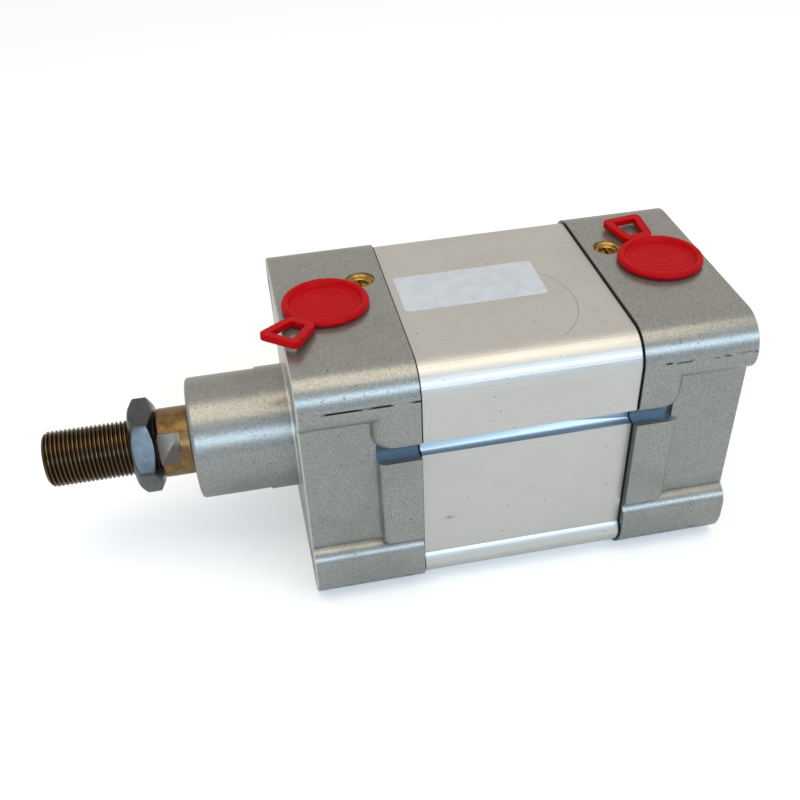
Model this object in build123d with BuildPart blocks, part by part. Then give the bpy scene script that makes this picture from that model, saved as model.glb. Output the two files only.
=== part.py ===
from build123d import *
from math import acos, cos, degrees, pi, radians, sin, tan
import os

# Double-acting pneumatic cylinder with a square profile barrel and two die-cast end caps.
# The rod's axis is X. The rod comes out along +X, the air ports open upwards, along +Z, and the
# origin is the middle of the front cap's mounting face. All sizes are in millimetres.

# Sizes that set the cylinder
stroke = 25.0
cap_width = 95.0
cap_length = 39.5
bore_wall = 7.5  # from the cap's side to the bore's edge, so the bore is 80 across
cap_corner_r = 12.0
cap_proud = 1.0  # how far the caps stand out from the barrel, on each side
cap_edge_break = 0.5
barrel_end_break = 0.4

# Mounting face: four corner screws with a female thread in their heads
bolt_inset = 11.5  # from the cap's sides, so the bolts stand 72 apart
bolt_thread_r = 4.25  # tapping size of M10
bolt_thread_depth = 16.0
screw_head_r = 8.3
screw_head_length = 20.0
screw_shank_r = 5.0
screw_grip = 18.0  # how far a screw reaches into the barrel
screw_socket_af = 6.0
screw_socket_depth = 3.0
screw_clearance = 0.2
screw_thread_fit = 0.05

# Side pockets of the caps
pocket_depth = 5.0
pocket_from_base = 23.5
post_flat = 0.3
lobe_r = 7.0  # the round that rolls a corner post into the pocket
pad_run = 16.2  # from the seam to the foot of the upper pad
pad_corner_r = 8.0
pad_tuck = 4.0
pad_draft = 20.0
pad_edge_r = 7.0
tab_run = 14.5  # from the seam to the foot of the lower tab
tab_corner_r = 3.0
tab_edge_r = 2.2

# Sensor groove along each side of the barrel
groove_from_top = 30.9
groove_opening = 6.2
groove_inner = 8.6
groove_lip = 1.6
groove_depth = 6.0

# Collar of the front cap
pilot_r = 22.5
pilot_length = 10.5
collar_r = 22.0
collar_length = 35.5
collar_edge_r = 1.5
rear_pilot_depth = 4.0

# Rod
rod_r = 12.5
rod_passage_gap = 0.5
shoulder_from_collar = 12.1
shoulder_chamfer = 1.0
thread_r = 10.0
thread_length = 40.0
thread_chamfer = 1.5
thread_depth = 1.0
relief_length = 2.5
flats_af = 22.0
flats_length = 8.0
flats_angle = 23.0

# Nut on the rod's thread
nut_af = 30.0
nut_sides = 6
nut_thickness = 9.0
nut_gap = 0.3  # from the rod's shoulder
nut_face_inset = 1.0
nut_chamfer_angle = 35.0
nut_countersink = 0.8

# Bearing and seal in the collar
bearing_wall = 2.0
bearing_inset = 3.0
bearing_to_seal = 0.5
seal_wall = 5.0
seal_length = 8.0
seal_lip = 0.8
running_fit = 0.04

# Spigots that carry the barrel
spigot_length = 8.0
spigot_fit = 0.1
ring_wire_r = 1.3
ring_room = 0.05
ring_groove_width = 3.4

# Cushioning
chamber_gap = 1.5
chamber_end = 10.0  # metal left between the chamber and the end face
sleeve_r = 18.0
sleeve_length = 22.0
rear_sleeve_length = 17.0
sleeve_flange = 3.0
sleeve_lead = 2.0
cushion_seal_wall = 4.0
cushion_seal_length = 6.5
cushion_seal_room = 0.25
cushion_seal_fit = 0.1
cushion_screw_to_seam = 8.5
cushion_screw_y = -14.0
bush_wall = 2.5
bush_length = 10.0
bush_recess = 0.5
bush_lip = 1.1
bush_lip_drop = 0.6
needle_r = 2.7
needle_recess = 2.2
needle_length = 17.0
needle_tip_length = 3.0
needle_tip_r = 0.6
needle_slot = 1.0
needle_slot_depth = 1.2
needle_neck_r = 1.9
needle_neck_length = 1.8
needle_neck_drop = 11.0
bleed_r = 1.5
bleed_from_top = 19.5

# Ports and the plugs that keep dust out of them
port_r = 7.6
port_to_cushion_screw = 14.2
port_chamfer = 0.8
port_chamfer_angle = 90.0
plug_r = 15.0
plug_thickness = 2.2
plug_rim = 2.7
plug_dish_depth = 0.7
plug_edge_r = 0.7
plug_shank_length = 9.0
plug_wall = 1.3
plug_fit = 0.1
plug_gap = 0.1
handle_length = 14.8  # from the plug's rim
handle_overlap = 1.2
handle_root_width = 10.8
handle_tip_width = 15.8
handle_corner_r = 2.4
handle_thickness = 1.9
handle_edge_r = 0.6
handle_lift = 0.3
handle_tilt = 6.0
loop_tip_bar = 3.2
loop_root_width = 6.4
loop_tip_width = 8.8
loop_corner_r = 1.4
front_handle_angle = 54.0
rear_handle_angle = -82.0

# Piston
piston_gap = 0.5  # between the piston's metal and the bore
piston_lip = 2.5
piston_seal_width = 4.5
piston_seal_depth = 5.5
piston_seal_fit = 0.03
piston_seal_play = 0.2
piston_seal_wall = 1.8
guide_width = 8.0
guide_depth = 2.5
guide_fit = 0.05
guide_land = 1.6
magnet_width = 4.5
magnet_land = 1.0
magnet_depth = 10.0
magnet_cover = 3.0
magnet_room = 0.1
rear_land = 1.5
stud_r = 8.0
stud_fit = 0.02
buffer_land = 1.5  # metal between a buffer and the seal's groove
buffer_width = 6.0
buffer_depth = 2.0
buffer_proud = 1.0
buffer_room = 0.05
end_gap = 0.2
piston_nut_af = 24.0
piston_nut_height = 8.0
stud_over = 2.0

# Places worked out from the sizes above
half_cap = cap_width / 2
barrel_width = cap_width - 2 * cap_proud
barrel_corner_r = cap_corner_r - cap_proud
half_barrel = barrel_width / 2
rear_half_length = piston_lip + piston_seal_width + rear_land
front_half_length = piston_lip + piston_seal_width + guide_land + guide_width + magnet_land + magnet_width
piston_length = front_half_length + rear_half_length
barrel_length = piston_length + stroke + 2 * (spigot_length + end_gap + buffer_proud)
body_length = barrel_length + 2 * cap_length
bore_r = half_cap - bore_wall
chamber_r = sleeve_r + chamber_gap
cushion_seal_r = sleeve_r + cushion_seal_wall
bolt_square = cap_width - 2 * bolt_inset
seam_x = -cap_length
middle = Plane.YZ.offset(-body_length / 2)
spigot_r = bore_r - spigot_fit
spigot_end_x = seam_x - spigot_length
groove_z = half_cap - groove_from_top
groove_top = groove_z + groove_opening / 2
groove_bottom = groove_z - groove_opening / 2
groove_floor_y = half_barrel - groove_depth
pocket_bottom = pocket_from_base - half_cap
pad_foot = cap_length - pad_run
tab_foot = cap_length - tab_run
cushion_screw_inset = cap_length - cushion_screw_to_seam
port_inset = cushion_screw_inset - port_to_cushion_screw
bush_r = needle_r + bush_wall
plug_dish_r = plug_r - plug_rim
bleed_z = half_cap - bleed_from_top
piston_metal_r = bore_r - piston_gap
piston_seal_r = bore_r - piston_seal_fit
piston_groove_r = bore_r - piston_seal_depth
guide_groove_r = bore_r - guide_depth
magnet_inner_r = bore_r - magnet_depth
magnet_outer_r = bore_r - magnet_cover
buffer_outer_r = piston_groove_r - buffer_land
buffer_inner_r = buffer_outer_r - buffer_width
rear_stop_x = spigot_end_x - barrel_length + 2 * spigot_length
piston_rear_x = rear_stop_x + end_gap + buffer_proud
piston_front_x = piston_rear_x + piston_length
split_x = piston_rear_x + rear_half_length
rod_passage_r = rod_r + rod_passage_gap
bearing_r = rod_r + bearing_wall
bearing_end_x = collar_length - seal_length - bearing_to_seal
seal_r = rod_r + seal_wall
shoulder_x = collar_length + shoulder_from_collar
rod_front_x = shoulder_x + thread_length
relief_r = thread_r - thread_depth
engaged_thread_r = thread_r - thread_depth / 2  # where the nut's thread meets the rod's
nut_x = shoulder_x + nut_gap
nut_corner_r = nut_af / 2 / cos(pi / nut_sides)
nut_face_r = nut_af / 2 - nut_face_inset
rod_step_x = piston_front_x + sleeve_flange
rear_sleeve_end_x = piston_rear_x - rear_sleeve_length
stud_end_x = rear_sleeve_end_x - piston_nut_height - stud_over
pocket_floor = Plane(origin=(0, half_cap - pocket_depth, 0), x_dir=(-1, 0, 0), z_dir=(0, 1, 0))


def save(builder, name):
    """Labels a finished piece and writes it to its own file."""
    builder.part.label = name
    export_step(builder.part, f"parts/{name}.step")


def turned(*outline):
    """Turns an outline of (x, radius) points about the rod's axis, in the part being built."""
    with BuildSketch(Plane.XY) as profile:
        with BuildLine():
            Polyline(*outline, close=True)
        make_face()
    revolve(profile.sketch, axis=Axis.X)


def wire_ring(x, radius, wire_r):
    """A round rubber ring about the rod's axis, in the part being built."""
    with BuildSketch(Plane.XY) as profile:
        with Locations((x, radius)):
            Circle(wire_r)
    revolve(profile.sketch, axis=Axis.X)


def upright(x, y, outline):
    """Turns an outline of (radius, z) points about the upright axis at x, y."""
    with BuildSketch(Plane(origin=(x, y, 0), x_dir=(1, 0, 0), z_dir=(0, -1, 0))) as profile:
        with BuildLine():
            Polyline(*outline, close=True)
        make_face()
    revolve(profile.sketch, axis=Axis((x, y, 0), (0, 0, 1)))


def groove_section():
    """The sensor groove's section on the +Y side, in the sketch being drawn."""
    neck = half_barrel - groove_lip
    with Locations(((neck + half_cap) / 2, groove_z)):
        Rectangle(half_cap - neck + cap_proud, groove_opening)
    with Locations(((groove_floor_y + neck) / 2, groove_z)):
        Rectangle(neck - groove_floor_y, groove_inner)


os.makedirs("parts", exist_ok=True)

# The upper pad of a cap's side: it rolls from the pocket's floor up to the barrel's seam
with BuildPart() as upper_pad:
    past_seam = cap_length + cap_corner_r
    with BuildSketch(pocket_floor) as pad_outline:
        with BuildLine():
            Polyline(
                (pad_foot, groove_top - pad_tuck),
                (past_seam, groove_top - pad_tuck),
                (past_seam, cap_width),
                (pad_foot, cap_width),
                close=True,
            )
        make_face()
        fillet(pad_outline.vertices().group_by(Axis.X)[0].sort_by(Axis.Y)[0], pad_corner_r)
    extrude(amount=pocket_depth, taper=pad_draft)
    fillet(upper_pad.faces().sort_by(Axis.Y)[-1].edges(), pad_edge_r)
    split(bisect_by=Plane.XY.offset(groove_top), keep=Keep.TOP)
    with BuildSketch(Plane.YZ):
        RectangleRounded(cap_width, cap_width, cap_corner_r)
    extrude(amount=-cap_length, mode=Mode.INTERSECT)

# The lower tab: a plain block with one rolled edge, square where the sensor groove passes
with BuildPart() as lower_tab:
    with BuildSketch(pocket_floor) as tab_outline:
        with BuildLine():
            Polyline(
                (tab_foot, pocket_bottom),
                (cap_length, pocket_bottom),
                (cap_length, groove_bottom),
                (tab_foot, groove_bottom),
                close=True,
            )
        make_face()
        fillet(tab_outline.vertices().group_by(Axis.X)[0].sort_by(Axis.Y)[0], tab_corner_r)
    extrude(amount=pocket_depth)
    tab_face = lower_tab.faces().sort_by(Axis.Y)[-1]
    fillet(tab_face.edges().group_by(Axis.X)[-1], tab_edge_r)

# Both caps come out of one die. The casting is drawn once, as the front cap, and mirrored.
with BuildPart() as casting:
    lobe_angle = degrees(acos((lobe_r - pocket_depth) / lobe_r))
    lobe_drop = lobe_r * sin(radians(lobe_angle))
    corner_z = half_cap - cap_corner_r
    with BuildSketch(Plane.YZ):
        with BuildLine():
            top_line = Line((0, half_cap), (corner_z, half_cap))
            top_corner = JernArc(top_line @ 1, top_line % 1, cap_corner_r, -90)
            post_line = Line(top_corner @ 1, (half_cap, corner_z - post_flat))
            upper_lobe = JernArc(post_line @ 1, post_line % 1, lobe_r, -lobe_angle)
            Line(upper_lobe @ 1, (half_cap - pocket_depth, pocket_bottom))
            lower_lobe = JernArc((half_cap, pocket_bottom - lobe_drop), (0, 1), lobe_r, lobe_angle)
            side_line = Line(lower_lobe @ 0, (half_cap, -corner_z))
            low_corner = JernArc(side_line @ 1, side_line % 1, cap_corner_r, -90)
            Line(low_corner @ 1, (0, -half_cap))
            mirror(about=Plane.YZ)
        make_face()
    extrude(amount=-cap_length)
    chamfer(casting.faces().sort_by(Axis.X)[-1].edges(), cap_edge_break)
    for pad in (upper_pad.part, lower_tab.part):
        add(pad)
        mirror(pad, about=Plane.XZ)
    with BuildSketch(Plane.YZ.offset(seam_x)):
        groove_section()
        mirror(about=Plane.YZ)
    extrude(amount=cap_length - tab_foot, mode=Mode.SUBTRACT)
    with BuildSketch(Plane.YZ.offset(seam_x)):
        Circle(spigot_r)
    extrude(amount=-spigot_length)
    with BuildSketch(Plane.YZ.offset(seam_x - (spigot_length - ring_groove_width) / 2)):
        Circle(spigot_r)
        Circle(bore_r - 2 * (ring_wire_r + ring_room), mode=Mode.SUBTRACT)
    extrude(amount=-ring_groove_width, mode=Mode.SUBTRACT)
    with BuildSketch(Plane.YZ.offset(spigot_end_x)):
        Circle(chamber_r)
    extrude(amount=cap_length + spigot_length - chamber_end, mode=Mode.SUBTRACT)
    with BuildSketch(Plane.YZ.offset(spigot_end_x)):
        Circle(cushion_seal_r + ring_room)
    extrude(amount=cushion_seal_length + 2 * cushion_seal_room, mode=Mode.SUBTRACT)
    with BuildSketch(Plane.YZ.offset(spigot_end_x)):
        with Locations((cushion_screw_y, bleed_z)):
            Circle(bleed_r)
    extrude(amount=cap_length + spigot_length - cushion_screw_inset, mode=Mode.SUBTRACT)
    with Locations(Plane.YZ):
        with GridLocations(bolt_square, bolt_square, 2, 2):
            CounterBoreHole(
                radius=screw_shank_r + screw_clearance,
                counter_bore_radius=screw_head_r + screw_clearance,
                counter_bore_depth=screw_head_length,
                depth=cap_length,
            )
    with Locations((-port_inset, 0, half_cap)):
        CounterSinkHole(
            radius=port_r,
            counter_sink_radius=port_r + port_chamfer,
            depth=half_cap - chamber_r / 2,
            counter_sink_angle=port_chamfer_angle,
        )
    with Locations((-cushion_screw_inset, cushion_screw_y, half_cap)):
        CounterBoreHole(
            radius=needle_r + ring_room,
            counter_bore_radius=bush_r + screw_thread_fit,
            counter_bore_depth=bush_recess + bush_length,
            depth=needle_recess + needle_length - needle_tip_length,
        )
        Hole(bleed_r, depth=half_cap)

# Front cap: the casting, its collar, and the bores that hold the bearing and the rod's seal
with BuildPart() as front_cap:
    add(casting.part)
    with BuildSketch(Plane.YZ):
        Circle(pilot_r)
    extrude(amount=pilot_length)
    with BuildSketch(Plane.YZ):
        Circle(collar_r)
    extrude(amount=collar_length)
    fillet(front_cap.faces().sort_by(Axis.X)[-1].edges(), collar_edge_r)
    with BuildSketch(Plane.YZ.offset(collar_length)):
        Circle(rod_passage_r)
    extrude(amount=-collar_length - chamber_end, mode=Mode.SUBTRACT)
    with BuildSketch(Plane.YZ.offset(bearing_inset)):
        Circle(bearing_r)
    extrude(amount=collar_length - bearing_inset, mode=Mode.SUBTRACT)
    with BuildSketch(Plane.YZ.offset(collar_length - seal_length)):
        Circle(seal_r)
    extrude(amount=seal_length, mode=Mode.SUBTRACT)
save(front_cap, "front_cap")

# Rear cap: the same casting, closed, with a shallow centring recess in its face
with BuildPart() as rear_cap:
    mirror(casting.part, about=middle)
    with BuildSketch(Plane.YZ.offset(-body_length)):
        Circle(pilot_r)
    extrude(amount=rear_pilot_depth, mode=Mode.SUBTRACT)
save(rear_cap, "rear_cap")

# Barrel: one extrusion with the bore, four screw channels and a sensor groove on each side
with BuildPart() as barrel_tube:
    with BuildSketch(Plane.YZ.offset(seam_x)):
        RectangleRounded(barrel_width, barrel_width, barrel_corner_r)
        Circle(bore_r, mode=Mode.SUBTRACT)
        with GridLocations(bolt_square, bolt_square, 2, 2):
            Circle(screw_shank_r + screw_thread_fit, mode=Mode.SUBTRACT)
        with BuildSketch(mode=Mode.SUBTRACT):
            groove_section()
            mirror(about=Plane.YZ)
    extrude(amount=-barrel_length)
    for end_face in barrel_tube.faces().sort_by(Axis.X)[:: len(barrel_tube.faces()) - 1]:
        chamfer(end_face.outer_wire().edges(), barrel_end_break)
save(barrel_tube, "barrel_tube")

# Corner screws: the head sits deep in the cap and holds the thread that the user bolts to
with BuildPart() as front_cap_screws:
    with BuildSketch(Plane.YZ):
        with GridLocations(bolt_square, bolt_square, 2, 2):
            Circle(screw_head_r)
    extrude(amount=-screw_head_length)
    with BuildSketch(Plane.YZ.offset(-screw_head_length)):
        with GridLocations(bolt_square, bolt_square, 2, 2):
            Circle(screw_shank_r)
    extrude(amount=screw_head_length - cap_length - screw_grip)
    with BuildSketch(Plane.YZ):
        with GridLocations(bolt_square, bolt_square, 2, 2):
            Circle(bolt_thread_r)
    extrude(amount=-bolt_thread_depth, mode=Mode.SUBTRACT)
    with BuildSketch(Plane.YZ):
        with GridLocations(bolt_square, bolt_square, 2, 2):
            RegularPolygon(screw_socket_af / 2, 6, major_radius=False)
    extrude(amount=-bolt_thread_depth - screw_socket_depth, mode=Mode.SUBTRACT)
save(front_cap_screws, "front_cap_screws")

with BuildPart() as rear_cap_screws:
    mirror(front_cap_screws.part, about=middle)
save(rear_cap_screws, "rear_cap_screws")

# Rod: thread, relief, shoulder with two wrench flats, and the stud that carries the piston
with BuildPart() as piston_rod:
    turned(
        (stud_end_x, 0),
        (stud_end_x, stud_r - shoulder_chamfer),
        (stud_end_x + shoulder_chamfer, stud_r),
        (rod_step_x, stud_r),
        (rod_step_x, rod_r),
        (shoulder_x - shoulder_chamfer, rod_r),
        (shoulder_x, rod_r - shoulder_chamfer),
        (shoulder_x, relief_r),
        (shoulder_x + relief_length, relief_r),
        (shoulder_x + relief_length + engaged_thread_r - relief_r, engaged_thread_r),
        (nut_x + nut_thickness, engaged_thread_r),
        (nut_x + nut_thickness, thread_r),
        (rod_front_x - thread_chamfer, thread_r),
        (rod_front_x, thread_r - thread_chamfer),
        (rod_front_x, 0),
    )
    with BuildSketch(Plane.YZ.offset(shoulder_x)):
        Circle(2 * rod_r)
        Rectangle(flats_af, 4 * rod_r, rotation=flats_angle, mode=Mode.SUBTRACT)
    extrude(amount=-flats_length, mode=Mode.SUBTRACT)
save(piston_rod, "piston_rod")

# Thin hexagon nut, chamfered on both faces
with BuildPart() as rod_nut:
    nut_slope = (nut_corner_r - nut_face_r) * tan(radians(nut_chamfer_angle))
    with BuildSketch(Plane.YZ.offset(nut_x)):
        RegularPolygon(nut_corner_r, nut_sides)
        Circle(engaged_thread_r + running_fit, mode=Mode.SUBTRACT)
    extrude(amount=nut_thickness)
    with BuildSketch(Plane.XY) as nut_turning:
        with BuildLine():
            Polyline(
                (nut_x, engaged_thread_r + nut_countersink),
                (nut_x, nut_face_r),
                (nut_x + nut_slope, nut_corner_r),
                (nut_x + nut_thickness - nut_slope, nut_corner_r),
                (nut_x + nut_thickness, nut_face_r),
                (nut_x + nut_thickness, engaged_thread_r + nut_countersink),
                (nut_x + nut_thickness - nut_countersink, engaged_thread_r),
                (nut_x + nut_countersink, engaged_thread_r),
                close=True,
            )
        make_face()
    revolve(nut_turning.sketch, axis=Axis.X, mode=Mode.INTERSECT)
save(rod_nut, "rod_nut")

# Bearing bush and lip seal, both in the collar
with BuildPart() as rod_bearing:
    turned(
        (bearing_inset, rod_r + running_fit),
        (bearing_inset, bearing_r),
        (bearing_end_x, bearing_r),
        (bearing_end_x, rod_r + running_fit),
    )
save(rod_bearing, "rod_bearing")

with BuildPart() as rod_seal:
    seal_x = collar_length - seal_length
    turned(
        (seal_x, rod_r + running_fit),
        (seal_x, seal_r),
        (collar_length, seal_r),
        (collar_length, seal_r - 2 * seal_lip),
        (collar_length - 2 * seal_lip, rod_r + 2 * seal_lip),
        (collar_length + seal_lip, rod_r + seal_lip),
        (collar_length + seal_lip, rod_r + running_fit),
    )
save(rod_seal, "rod_seal")

# Round rings that seal the spigots in the barrel
ring_x = seam_x - spigot_length / 2
ring_centre_r = bore_r - ring_room - ring_wire_r
with BuildPart() as front_tube_ring:
    wire_ring(ring_x, ring_centre_r, ring_wire_r)
save(front_tube_ring, "front_tube_ring")

with BuildPart() as rear_tube_ring:
    mirror(front_tube_ring.part, about=middle)
save(rear_tube_ring, "rear_tube_ring")

# Cushion seals at the mouth of each cap's chamber
with BuildPart() as front_cushion_seal:
    cushion_x = spigot_end_x + cushion_seal_room
    turned(
        (cushion_x, sleeve_r + cushion_seal_fit + sleeve_lead / 2),
        (cushion_x, cushion_seal_r),
        (cushion_x + cushion_seal_length, cushion_seal_r),
        (cushion_x + cushion_seal_length, sleeve_r + cushion_seal_fit),
        (cushion_x + sleeve_lead, sleeve_r + cushion_seal_fit),
    )
save(front_cushion_seal, "front_cushion_seal")

with BuildPart() as rear_cushion_seal:
    mirror(front_cushion_seal.part, about=middle)
save(rear_cushion_seal, "rear_cushion_seal")

# Adjusting screws of the cushioning, each in a brass bush in the top of its cap
for end, screw_x in (
    ("front", -cushion_screw_inset),
    ("rear", cushion_screw_inset - body_length),
):
    bush_top = half_cap - bush_recess
    with BuildPart() as cushion_bush:
        upright(
            screw_x,
            cushion_screw_y,
            [
                (needle_r + running_fit, bush_top - bush_length),
                (bush_r, bush_top - bush_length),
                (bush_r, bush_top),
                (bush_r - bush_recess, bush_top),
                (bush_r - bush_lip, bush_top - bush_lip_drop),
                (needle_r + running_fit + bush_recess, bush_top - bush_lip_drop),
                (needle_r + running_fit, bush_top - bush_lip_drop - bush_recess),
            ],
        )
    save(cushion_bush, f"{end}_cushion_bush")

    needle_top = half_cap - needle_recess
    needle_end = needle_top - needle_length
    neck_top = needle_top - needle_neck_drop
    neck_end = neck_top - needle_neck_length
    with BuildPart() as cushion_screw:
        upright(
            screw_x,
            cushion_screw_y,
            [
                (0, needle_end),
                (needle_tip_r, needle_end),
                (bleed_r, needle_end + needle_tip_length),
                (needle_r, needle_end + needle_tip_length + bleed_r),
                (needle_r, neck_end),
                (needle_neck_r, neck_end),
                (needle_neck_r, neck_top),
                (needle_r, neck_top),
                (needle_r, needle_top),
                (0, needle_top),
            ],
        )
        with BuildSketch(Plane((screw_x, cushion_screw_y, needle_top))):
            Rectangle(needle_slot, 2 * needle_r)
        extrude(amount=-needle_slot_depth, mode=Mode.SUBTRACT)
    save(cushion_screw, f"{end}_cushion_screw")

    needle_wire_r = (needle_r - needle_neck_r) / 2
    with BuildPart() as cushion_screw_ring:
        with Locations((screw_x, cushion_screw_y, (neck_top + neck_end) / 2)):
            Torus(needle_neck_r + needle_wire_r, needle_wire_r)
    save(cushion_screw_ring, f"{end}_cushion_screw_ring")

# Dust plugs: a dished cap with a hollow shank, and a pull loop that rises towards its tip
for end, plug_x, handle_angle in (
    ("front", -port_inset, front_handle_angle),
    ("rear", port_inset - body_length, rear_handle_angle),
):
    seat = Plane(
        origin=(plug_x, 0, half_cap + plug_gap),
        x_dir=(cos(radians(handle_angle)), sin(radians(handle_angle)), 0),
        z_dir=(0, 0, 1),
    )
    with BuildPart() as pull_loop:
        with BuildSketch(seat * Location((plug_r, 0, handle_lift), (0, -handle_tilt, 0))):
            with BuildSketch() as handle_outline:
                with BuildLine():
                    Polyline(
                        (-handle_overlap, -handle_root_width / 2),
                        (handle_length, -handle_tip_width / 2),
                        (handle_length, handle_tip_width / 2),
                        (-handle_overlap, handle_root_width / 2),
                        close=True,
                    )
                make_face()
                fillet(handle_outline.vertices().group_by(Axis.X)[-1], handle_corner_r)
            with BuildSketch(mode=Mode.SUBTRACT) as loop_outline:
                with BuildLine():
                    Polyline(
                        (-handle_overlap, -loop_root_width / 2),
                        (handle_length - loop_tip_bar, -loop_tip_width / 2),
                        (handle_length - loop_tip_bar, loop_tip_width / 2),
                        (-handle_overlap, loop_root_width / 2),
                        close=True,
                    )
                make_face()
                fillet(loop_outline.vertices().group_by(Axis.X)[-1], loop_corner_r)
        extrude(amount=handle_thickness)
        fillet(pull_loop.faces().sort_by(Axis.Z)[-1].edges(), handle_edge_r)

    with BuildPart() as port_plug:
        with BuildSketch(seat):
            Circle(plug_r)
        extrude(amount=plug_thickness)
        plug_top = port_plug.faces().sort_by(Axis.Z)[-1]
        fillet(plug_top.edges(), plug_edge_r)
        with BuildSketch(seat.offset(plug_thickness)):
            Circle(plug_dish_r)
        extrude(amount=-plug_dish_depth, mode=Mode.SUBTRACT)
        add(pull_loop.part)
        with BuildSketch(seat):
            Circle(port_r - plug_fit)
        extrude(amount=-plug_shank_length)
        with BuildSketch(seat.offset(-plug_shank_length)):
            Circle(port_r - plug_fit - plug_wall)
        extrude(amount=plug_shank_length, mode=Mode.SUBTRACT)
    save(port_plug, f"{end}_port_plug")

# Piston: two halves that clamp the magnet, with a lip seal at each end and a guide band
front_seal_x = piston_front_x - piston_lip
guide_x = front_seal_x - piston_seal_width - guide_land
rear_seal_x = piston_rear_x + piston_lip
with BuildPart() as piston_front:
    turned(
        (piston_front_x, stud_r + stud_fit),
        (piston_front_x, buffer_inner_r),
        (piston_front_x - buffer_depth, buffer_inner_r),
        (piston_front_x - buffer_depth, buffer_outer_r),
        (piston_front_x, buffer_outer_r),
        (piston_front_x, piston_metal_r),
        (front_seal_x, piston_metal_r),
        (front_seal_x, piston_groove_r),
        (front_seal_x - piston_seal_width, piston_groove_r),
        (front_seal_x - piston_seal_width, piston_metal_r),
        (guide_x, piston_metal_r),
        (guide_x, guide_groove_r),
        (guide_x - guide_width, guide_groove_r),
        (guide_x - guide_width, piston_metal_r),
        (split_x + magnet_width, piston_metal_r),
        (split_x + magnet_width, magnet_inner_r),
        (split_x, magnet_inner_r),
        (split_x, stud_r + stud_fit),
    )
save(piston_front, "piston_front")

with BuildPart() as piston_rear:
    turned(
        (piston_rear_x, stud_r + stud_fit),
        (piston_rear_x, buffer_inner_r),
        (piston_rear_x + buffer_depth, buffer_inner_r),
        (piston_rear_x + buffer_depth, buffer_outer_r),
        (piston_rear_x, buffer_outer_r),
        (piston_rear_x, piston_metal_r),
        (rear_seal_x, piston_metal_r),
        (rear_seal_x, piston_groove_r),
        (rear_seal_x + piston_seal_width, piston_groove_r),
        (rear_seal_x + piston_seal_width, piston_metal_r),
        (split_x, piston_metal_r),
        (split_x, stud_r + stud_fit),
    )
save(piston_rear, "piston_rear")

with BuildPart() as piston_magnet:
    turned(
        (split_x + magnet_room, magnet_inner_r + magnet_room),
        (split_x + magnet_room, magnet_outer_r),
        (split_x + magnet_width - magnet_room, magnet_outer_r),
        (split_x + magnet_width - magnet_room, magnet_inner_r + magnet_room),
    )
save(piston_magnet, "piston_magnet")

with BuildPart() as piston_guide_ring:
    turned(
        (guide_x - piston_seal_play / 2, guide_groove_r + running_fit),
        (guide_x - piston_seal_play / 2, bore_r - guide_fit),
        (guide_x - guide_width + piston_seal_play / 2, bore_r - guide_fit),
        (guide_x - guide_width + piston_seal_play / 2, guide_groove_r + running_fit),
    )
save(piston_guide_ring, "piston_guide_ring")


def lip_seal(x, facing):
    """A cup-shaped piston seal. Its open lip faces the pressure, along facing (+1 or -1)."""
    back = x - facing * (piston_seal_width - piston_seal_play)
    lip_foot = x - facing * piston_seal_width / 2
    turned(
        (back, piston_groove_r + running_fit),
        (back, piston_metal_r),
        (lip_foot, piston_metal_r),
        (x - facing * piston_seal_play, piston_seal_r),
        (x - facing * piston_seal_play, piston_seal_r - piston_seal_wall),
        (lip_foot, piston_groove_r + piston_seal_wall),
        (x - facing * piston_seal_play, piston_groove_r + piston_seal_wall),
        (x - facing * piston_seal_play, piston_groove_r + running_fit),
    )


with BuildPart() as piston_front_seal:
    lip_seal(front_seal_x, 1)
save(piston_front_seal, "piston_front_seal")

with BuildPart() as piston_rear_seal:
    lip_seal(rear_seal_x, -1)
save(piston_rear_seal, "piston_rear_seal")

# Rubber end-stop rings in the piston's faces
for end, face_x, facing in (("front", piston_front_x, 1), ("rear", piston_rear_x, -1)):
    with BuildPart() as buffer_ring:
        turned(
            (face_x - facing * buffer_depth, buffer_inner_r + buffer_room),
            (face_x - facing * buffer_depth, buffer_outer_r - buffer_room),
            (face_x, buffer_outer_r - buffer_room),
            (face_x + facing * buffer_proud, buffer_outer_r - buffer_proud),
            (face_x + facing * buffer_proud, buffer_inner_r + buffer_proud),
            (face_x, buffer_inner_r + buffer_room),
        )
    save(buffer_ring, f"{end}_buffer")

# Cushion sleeves: they close the chambers near the ends of the stroke
with BuildPart() as front_cushion_sleeve:
    sleeve_end_x = piston_front_x + sleeve_length
    turned(
        (piston_front_x, stud_r + stud_fit),
        (piston_front_x, sleeve_r),
        (sleeve_end_x - sleeve_lead, sleeve_r),
        (sleeve_end_x, sleeve_r - sleeve_lead / 2),
        (sleeve_end_x, rod_r + running_fit),
        (rod_step_x, rod_r + running_fit),
        (rod_step_x, stud_r + stud_fit),
    )
save(front_cushion_sleeve, "front_cushion_sleeve")

with BuildPart() as rear_cushion_sleeve:
    turned(
        (piston_rear_x, stud_r + stud_fit),
        (piston_rear_x, sleeve_r),
        (rear_sleeve_end_x + sleeve_lead, sleeve_r),
        (rear_sleeve_end_x, sleeve_r - sleeve_lead / 2),
        (rear_sleeve_end_x, stud_r + stud_fit),
    )
save(rear_cushion_sleeve, "rear_cushion_sleeve")

# Nut that clamps sleeves and piston against the rod's step
with BuildPart() as piston_nut:
    with BuildSketch(Plane.YZ.offset(rear_sleeve_end_x)):
        RegularPolygon(piston_nut_af / 2, 6, major_radius=False)
        Circle(stud_r + stud_fit, mode=Mode.SUBTRACT)
    extrude(amount=-piston_nut_height)
save(piston_nut, "piston_nut")
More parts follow.
